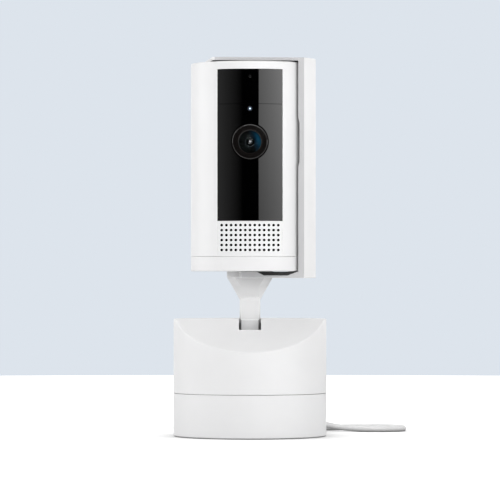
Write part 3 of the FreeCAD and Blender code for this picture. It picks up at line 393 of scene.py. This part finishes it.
def woven(name, colour, lighter, pitch=0.0009, sheen=0.3, specular=0.5):
    """Woven tape or speaker cloth: two crossing sets of threads."""
    material, tree, shader = new_material(name)
    place = object_place(tree)
    threads = []
    for lean, tip in ((0.35, 0.0), (0.2, math.pi / 2)):
        wave = tree.nodes.new("ShaderNodeTexWave")
        wave.inputs["Scale"].default_value = 0.32 / pitch
        wave.inputs["Distortion"].default_value = 0.6
        turn = tree.nodes.new("ShaderNodeMapping")
        turn.inputs["Rotation"].default_value = (0, tip, lean)
        tree.links.new(place, turn.inputs["Vector"])
        tree.links.new(turn.outputs["Vector"], wave.inputs["Vector"])
        threads.append(wave.outputs["Fac"])
    crossed = combined(tree, "MULTIPLY", threads[0], threads[1])
    tree.links.new(mixed(tree, crossed, colour, lighter), shader.inputs["Base Color"])
    fuzz = spread_to(tree, noise(tree, scale=900.0), 0.75, 0.95)
    tree.links.new(fuzz, shader.inputs["Roughness"])
    shader.inputs["Sheen Weight"].default_value = sheen
    shader.inputs["Specular IOR Level"].default_value = specular
    bumped(tree, shader, crossed, distance=0.00012)
    return material


FUNNEL_BLACK = (0.003, 0.005, 0.005)
REFLECTION_TEAL = (0.006, 0.075, 0.14)
REFLECTION_RADIUS = 0.0042       # where the painted teal reflection is strongest, off the lens axis
LIGHT_OFF = (0.002, 0.003, 0.004)
LIGHT_OFF_PALER = (0.004, 0.006, 0.008)
LIGHT_HALO = (0.0, 0.05, 0.20)
LIGHT_CORE = (0.75, 0.95, 1.0)
CORE_STRENGTH = 1.1
HALO_STRENGTH = 0.8


def from_centre(tree, node_name):
    """Sideways and upward distances from the middle of a node, and the distance off its axis."""
    low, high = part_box(node_name)
    centre = (low + high) / 2
    split = tree.nodes.new("ShaderNodeSeparateXYZ")
    tree.links.new(object_place(tree), split.inputs["Vector"])
    sideways = combined(tree, "SUBTRACT", split.outputs["X"], centre.x)
    upward = combined(tree, "SUBTRACT", split.outputs["Z"], centre.z)
    sideways_squared = combined(tree, "POWER", sideways, 2.0)
    upward_squared = combined(tree, "POWER", upward, 2.0)
    squares = combined(tree, "ADD", sideways_squared, upward_squared)
    return sideways, upward, combined(tree, "SQRT", squares, 0.0)


def lens_glass(name):
    """Anti-reflection coated glass for the domed front element."""
    material, tree, shader = new_material(name)
    tint = spread_to(tree, noise(tree, scale=120.0, detail=2.0), 0.0, 1.0)
    tree.links.new(mixed(tree, tint, (0.93, 0.97, 0.98), (0.98, 0.99, 1.0)), shader.inputs["Base Color"])
    smears = spread_to(tree, noise(tree, scale=300.0), 0.0, 0.03)
    tree.links.new(smears, shader.inputs["Roughness"])
    shader.inputs["Transmission Weight"].default_value = 1.0
    shader.inputs["IOR"].default_value = 1.1
    return material


def painted_lens_funnel(name):
    """The funnel behind the glass: near black, with a teal reflection painted on its upper right."""
    material, tree, shader = new_material(name)
    sideways, upward, away = from_centre(tree, "lens_cup")
    across = combined(tree, "ADD", sideways, combined(tree, "MULTIPLY", upward, 0.35))
    # the teal reflection painted on the funnel's upper right
    painted_reflection = spread_to(tree, across, 0.0, 1.0, from_low=0.0002, from_high=REFLECTION_RADIUS)
    rim = spread_to(tree, away, 1.0, 0.35, from_low=REFLECTION_RADIUS, from_high=0.0052)
    painted_reflection = combined(tree, "MULTIPLY", combined(tree, "POWER", painted_reflection, 1.8), rim)
    tree.links.new(mixed(tree, painted_reflection, FUNNEL_BLACK, REFLECTION_TEAL), shader.inputs["Base Color"])
    gloss = spread_to(tree, noise(tree, scale=400.0), 0.5, 0.65)
    tree.links.new(gloss, shader.inputs["Roughness"])
    shader.inputs["Specular IOR Level"].default_value = 0.1
    return material


def glowing(name):
    """The lit end of the status light pipe: a white core that fades through blue to dark."""
    material, tree, shader = new_material(name)
    away = from_centre(tree, "status_light")[2]
    core = spread_to(tree, away, 1.0, 0.0, from_low=0.0002, from_high=0.0005)
    halo = spread_to(tree, away, 1.0, 0.0, from_low=0.0004, from_high=0.0011)
    halo = combined(tree, "POWER", halo, 2.0)
    tree.links.new(mixed(tree, core, LIGHT_HALO, LIGHT_CORE), shader.inputs["Emission Color"])
    core_glow = combined(tree, "MULTIPLY", core, CORE_STRENGTH)
    halo_glow = combined(tree, "MULTIPLY", halo, HALO_STRENGTH)
    tree.links.new(combined(tree, "ADD", core_glow, halo_glow), shader.inputs["Emission Strength"])
    uneven = spread_to(tree, noise(tree, scale=2500.0), 0.0, 1.0)
    tree.links.new(mixed(tree, uneven, LIGHT_OFF, LIGHT_OFF_PALER), shader.inputs["Base Color"])
    gloss = spread_to(tree, noise(tree, scale=900.0), 0.2, 0.4)
    tree.links.new(gloss, shader.inputs["Roughness"])
    return material


def painted_edge_shade(material, direction, reach, grey):
    """Paint shade, as a grey colour, on the flat cut edges that lie this far either side of the middle,
    along a direction.
    """
    tree = material.node_tree
    shader = tree.nodes["Principled BSDF"]
    plain = shader.inputs["Base Color"].links[0].from_socket
    along = tree.nodes.new("ShaderNodeVectorMath")
    along.operation = "DOT_PRODUCT"
    along.inputs[1].default_value = direction
    tree.links.new(object_place(tree), along.inputs[0])
    away = combined(tree, "ABSOLUTE", along.outputs["Value"], 0.0)
    on_edge = spread_to(tree, away, 0.0, 1.0, from_low=reach - 0.00012, from_high=reach - 0.00004)
    # shade painted as grey on the flat cut edges
    tree.links.new(mixed(tree, on_edge, plain, grey), shader.inputs["Base Color"])
    return material


COVER_OPEN_ANGLE = math.radians(96.0)    # how far round from the lens the cover rests
COVER_ACROSS = (math.cos(COVER_OPEN_ANGLE), math.sin(COVER_OPEN_ANGLE), 0.0)
COVER_HALF_WIDTH = 0.020
WHITE = (0.83, 0.83, 0.835)
# The paler colour of the highlight painted along the white plastic's edges.
WHITE_HIGHLIGHT = (0.90, 0.90, 0.90)
# The grey of the shade painted on the cover's flat cut edges.
EDGE_SHADE_GREY = (0.52, 0.52, 0.53)
GLOSS_SPECK = (0.004, 0.004, 0.005)

MATERIALS = {
    "white_plastic": moulded("white_plastic", WHITE, WHITE_HIGHLIGHT, 0.36, coat=0.08),
    "cover_plastic": painted_edge_shade(
        moulded("cover_plastic", WHITE, WHITE_HIGHLIGHT, 0.36, coat=0.08),
        COVER_ACROSS, COVER_HALF_WIDTH, EDGE_SHADE_GREY),
    "grey_plastic": moulded("grey_plastic", (0.40, 0.41, 0.42), (0.50, 0.50, 0.51), 0.45),
    "dark_plastic": moulded("dark_plastic", (0.018, 0.018, 0.02), (0.05, 0.05, 0.052), 0.45),
    "bezel_plastic": moulded("bezel_plastic", (0.005, 0.0042, 0.004), (0.016, 0.012, 0.011), 0.1),
    "gear_plastic": moulded("gear_plastic", (0.74, 0.72, 0.64), (0.80, 0.79, 0.72), 0.4),
    "black_gloss": polished("black_gloss", (0.0003, 0.0003, 0.0004), 0.03, GLOSS_SPECK),
    "pupil_glass": polished("pupil_glass", (0.0006, 0.0008, 0.001), 0.04, GLOSS_SPECK, ior=2.2),
    "black_rubber": rubber("black_rubber", (0.025, 0.025, 0.026), 0.75),
    "white_rubber": rubber("white_rubber", (0.80, 0.80, 0.80), 0.5),
    "white_cord": rubber("white_cord", (0.82, 0.82, 0.82), 0.42),
    "dark_cloth": woven("dark_cloth", (0.012, 0.012, 0.014), (0.05, 0.05, 0.055)),
    "speaker_cloth": woven(
        "speaker_cloth", (0.001, 0.001, 0.001), (0.003, 0.003, 0.003),
        pitch=0.0004, sheen=0.02, specular=0.05),
    "circuit_board": circuit_board("circuit_board"),
    "steel": metal("steel", (0.56, 0.56, 0.58), 0.35),
    "plated_steel": metal("plated_steel", (0.74, 0.74, 0.75), 0.2, streak=500.0),
    "ring_metal": metal("ring_metal", (0.03, 0.035, 0.037), 0.4),
    "aluminium": metal("aluminium", (0.72, 0.73, 0.75), 0.4),
    "lens_glass": lens_glass("lens_glass"),
    "coated_glass": painted_lens_funnel("coated_glass"),
    "led_lens": polished("led_lens", (0.03, 0.02, 0.035), 0.08, (0.08, 0.06, 0.09)),
    "status_lens": glowing("status_lens"),
}


def paint_nodes():
    """Give every CAD node the material of its own slot."""
    for part in frame["record"]["subparts"]:
        piece = frame["nodes"][part["node"]]
        for place in piece.material_slots:
            place.material = MATERIALS[part["material_slot"]]


paint_nodes()


# ---- pieces made here ---------------------------------------------------------------------
CORNER_STEPS = 6            # straight pieces in each rounded corner of the tie
STRAP_ROWS = 9              # points across the tie's width
STRAP_CROWN = 0.00012       # how far the middle of its width stands proud
LAP_START = 8               # the outline's points that the lapped end covers
LAP_END = 14


def strap_outline():
    """The tie's loop round the coil's section: (across, up) points with rounded corners."""
    coil_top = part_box("cord_coil")[1].z
    half_across = TURNS_ACROSS * CORD_DIAMETER / 2 + TIE_THICKNESS / 2
    top = coil_top + TIE_THICKNESS * 1.5
    bottom = TIE_THICKNESS / 2
    corner = CORD_DIAMETER * 0.55
    outline = []
    corners = (
        (half_across - corner, bottom + corner, -90),
        (half_across - corner, top - corner, 0),
        (-half_across + corner, top - corner, 90),
        (-half_across + corner, bottom + corner, 180),
    )
    for across, up, start in corners:
        for step in range(CORNER_STEPS + 1):
            turn = math.radians(start + 90 * step / CORNER_STEPS)
            outline.append((across + corner * math.cos(turn), up + corner * math.sin(turn)))
    return outline


def make_strap():
    """A hook-and-loop band round the coil, with its free end lapped over one top corner."""
    outline = strap_outline()
    lap = [(across * 0.9, up + TIE_THICKNESS) for across, up in outline[LAP_START:LAP_END]]
    vertices = []
    faces = []
    for loop, closed, width in ((outline, True, TIE_WIDTH), (lap, False, TIE_WIDTH * 0.94)):
        first = len(vertices)
        for across, up in loop:
            for row in range(STRAP_ROWS):
                side = row / (STRAP_ROWS - 1) - 0.5
                crown = STRAP_CROWN * math.cos(math.pi * side)
                vertices.append((COIL_MEAN_RADIUS + across, side * width, up + crown))
        spans = len(loop) if closed else len(loop) - 1
        for span in range(spans):
            here = first + span * STRAP_ROWS
            there = first + ((span + 1) % len(loop)) * STRAP_ROWS
            for row in range(STRAP_ROWS - 1):
                faces.append((here + row, there + row, there + row + 1, here + row + 1))
    mesh = bpy.data.meshes.new("coil_strap")
    mesh.from_pydata(vertices, [], faces)
    strap = bpy.data.objects.new("coil_strap", mesh)
    bpy.context.scene.collection.objects.link(strap)
    mesh.transform(Matrix.Translation(COIL_CENTRE) @ Matrix.Rotation(TIE_ANGLE, 4, "Z"))
    thick = strap.modifiers.new("thickness", "SOLIDIFY")
    thick.thickness = TIE_THICKNESS * 0.9
    thick.offset = 0.0
    soften = strap.modifiers.new("soft edges", "BEVEL")
    soften.width = 0.0002
    soften.segments = 2
    for face in mesh.polygons:
        face.use_smooth = True
    mesh.materials.append(MATERIALS["dark_cloth"])
    return strap


strap = make_strap()
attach(strap, "base")
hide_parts("coil_tie")

lead.data.materials.append(MATERIALS["white_cord"])
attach(lead, "base")
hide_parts("power_cord", "cord_coil")


# ---- floor, background and light ----------------------------------------------------------
FLOOR_RADIUS = 0.977
FLOOR_LIFT = 0.55           # extra brightness that only the eye sees
CONTACT_REACH = 0.03        # how far the soft shadow round a foot reaches
FLOOR_PAPER = (0.84, 0.84, 0.84)
FLOOR_PAPER_PALER = (0.86, 0.86, 0.86)
SHADOWED_PAPER = (0.45, 0.45, 0.45)
FLOOR_SIDES = 128
BACKDROP_BLUE = (0.723, 0.776, 0.840)
PANEL_START = 16.8          # bearings of the bright panel to the right of the eye, in degrees
PANEL_END = 68.0
HEAD_MIDDLE = (0.0, 0.0, 0.12)


def make_floor():
    """A round sheet of pale paper, with a soft shadow where the object stands on it."""
    rim = []
    for side in range(FLOOR_SIDES):
        turn = 2 * math.pi * side / FLOOR_SIDES
        rim.append((FLOOR_RADIUS * math.cos(turn), FLOOR_RADIUS * math.sin(turn), 0.0))
    mesh = bpy.data.meshes.new("floor")
    mesh.from_pydata(rim, [], [tuple(range(FLOOR_SIDES))])
    floor = bpy.data.objects.new("floor", mesh)
    bpy.context.scene.collection.objects.link(floor)
    material, tree, shader = new_material("floor_paper")
    tone = spread_to(tree, noise(tree, scale=6.0), 0.0, 1.0)
    paper = mixed(tree, tone, FLOOR_PAPER, FLOOR_PAPER_PALER)
    shader.inputs["Roughness"].default_value = 0.9
    shader.inputs["Specular IOR Level"].default_value = 0.1
    shader.inputs["Emission Color"].default_value = (1.0, 1.0, 1.0, 1.0)
    path = tree.nodes.new("ShaderNodeLightPath")
    openness = tree.nodes.new("ShaderNodeAmbientOcclusion")
    openness.inputs["Distance"].default_value = CONTACT_REACH
    shadowed = mixed(tree, openness.outputs["AO"], SHADOWED_PAPER, paper)
    tree.links.new(shadowed, shader.inputs["Base Color"])
    lift = combined(tree, "MULTIPLY", path.outputs["Is Camera Ray"], FLOOR_LIFT)
    lift = combined(tree, "MULTIPLY", lift, combined(tree, "POWER", openness.outputs["AO"], 2.0))
    tree.links.new(lift, shader.inputs["Emission Strength"])
    mesh.materials.append(material)


def soft_light(name, place, aim, width, height, radiance):
    """A rectangular lamp that faces a point; its brightness doesn't depend on its size."""
    data = bpy.data.lights.new(name, "AREA")
    data.shape = "RECTANGLE"
    data.size = width
    data.size_y = height
    data.energy = radiance * math.pi * width * height
    lamp = bpy.data.objects.new(name, data)
    lamp.location = place
    lamp.rotation_euler = (Vector(aim) - Vector(place)).to_track_quat("-Z", "Y").to_euler()
    bpy.context.scene.collection.objects.link(lamp)


def at_bearing(degrees, distance, height):
    """A place round the object: bearing 0 is in front of it, and positive is to the viewer's right."""
    turn = math.radians(degrees)
    return (distance * math.sin(turn), -distance * math.cos(turn), height)


def bearing_glow(tree, bearing, low, high, start, end):
    """Change from low to high between two bearings, in degrees."""
    return spread_to(tree, bearing, low, high, math.radians(start), math.radians(end))


def make_world():
    """Surroundings that are dark in front and pale at the sides and back, with a bright panel
    to the right for the window to reflect. The eye itself sees a pale blue-grey backdrop."""
    world = bpy.data.worlds.new("studio")
    bpy.context.scene.world = world
    world.use_nodes = True
    tree = world.node_tree
    tree.nodes.clear()
    coords = tree.nodes.new("ShaderNodeTexCoord")
    split = tree.nodes.new("ShaderNodeSeparateXYZ")
    tree.links.new(coords.outputs["Generated"], split.inputs["Vector"])
    height = split.outputs["Z"]
    towards_eye = combined(tree, "MULTIPLY", split.outputs["Y"], -1.0)
    bearing = combined(tree, "ARCTAN2", split.outputs["X"], towards_eye)

    left = bearing_glow(tree, bearing, 0.72, 0.0, -72, -14)
    right = bearing_glow(tree, bearing, 0.0, 1.0, 70, 95)
    around_back = combined(tree, "ABSOLUTE", bearing, 0.0)
    behind = bearing_glow(tree, around_back, 0.0, 0.6, 95, 125)
    low_down = spread_to(tree, height, 1.0, 0.4, 0.12, 0.5)
    sides = combined(tree, "ADD", combined(tree, "ADD", left, right), behind)
    sides = combined(tree, "MULTIPLY", sides, low_down)

    panel_edge = bearing_glow(tree, bearing, 0.0, 1.0, PANEL_START, PANEL_START + 0.4)
    panel_rise = bearing_glow(tree, bearing, 1.0, 1.85, PANEL_START, PANEL_END)
    panel_end = bearing_glow(tree, bearing, 1.0, 0.0, PANEL_END + 4, PANEL_END + 14)
    panel_tall = spread_to(tree, height, 1.7, 2.9, 0.015, 0.058)
    panel_top = spread_to(tree, height, 1.0, 0.0, 0.07, 0.11)
    panel = combined(tree, "MULTIPLY", panel_edge, panel_rise)
    for factor in (panel_end, panel_tall, panel_top):
        panel = combined(tree, "MULTIPLY", panel, factor)

    above = spread_to(tree, height, 0.0, 0.35, 0.15, 0.8)
    total = combined(tree, "ADD", combined(tree, "ADD", sides, panel), above)
    lighting = tree.nodes.new("ShaderNodeBackground")
    tree.links.new(total, lighting.inputs["Strength"])
    backdrop = tree.nodes.new("ShaderNodeBackground")
    backdrop.inputs["Color"].default_value = (*BACKDROP_BLUE, 1.0)
    path = tree.nodes.new("ShaderNodeLightPath")
    choose = tree.nodes.new("ShaderNodeMixShader")
    tree.links.new(path.outputs["Is Camera Ray"], choose.inputs[0])
    tree.links.new(lighting.outputs[0], choose.inputs[1])
    tree.links.new(backdrop.outputs[0], choose.inputs[2])
    output = tree.nodes.new("ShaderNodeOutputWorld")
    tree.links.new(choose.outputs[0], output.inputs["Surface"])


make_floor()
make_world()
soft_light("front_softbox", at_bearing(4, 1.25, 0.70), HEAD_MIDDLE, 1.0, 0.7, 4.8)
soft_light("right_softbox", at_bearing(64, 1.2, 0.68), HEAD_MIDDLE, 0.7, 0.5, 1.7)
soft_light("top_softbox", (0.0, -0.2, 1.4), HEAD_MIDDLE, 1.2, 1.2, 0.3)
soft_light("left_softbox", at_bearing(-100, 1.2, 0.6), HEAD_MIDDLE, 0.9, 1.1, 1.9)

bpy.context.scene.view_settings.view_transform = "Standard"
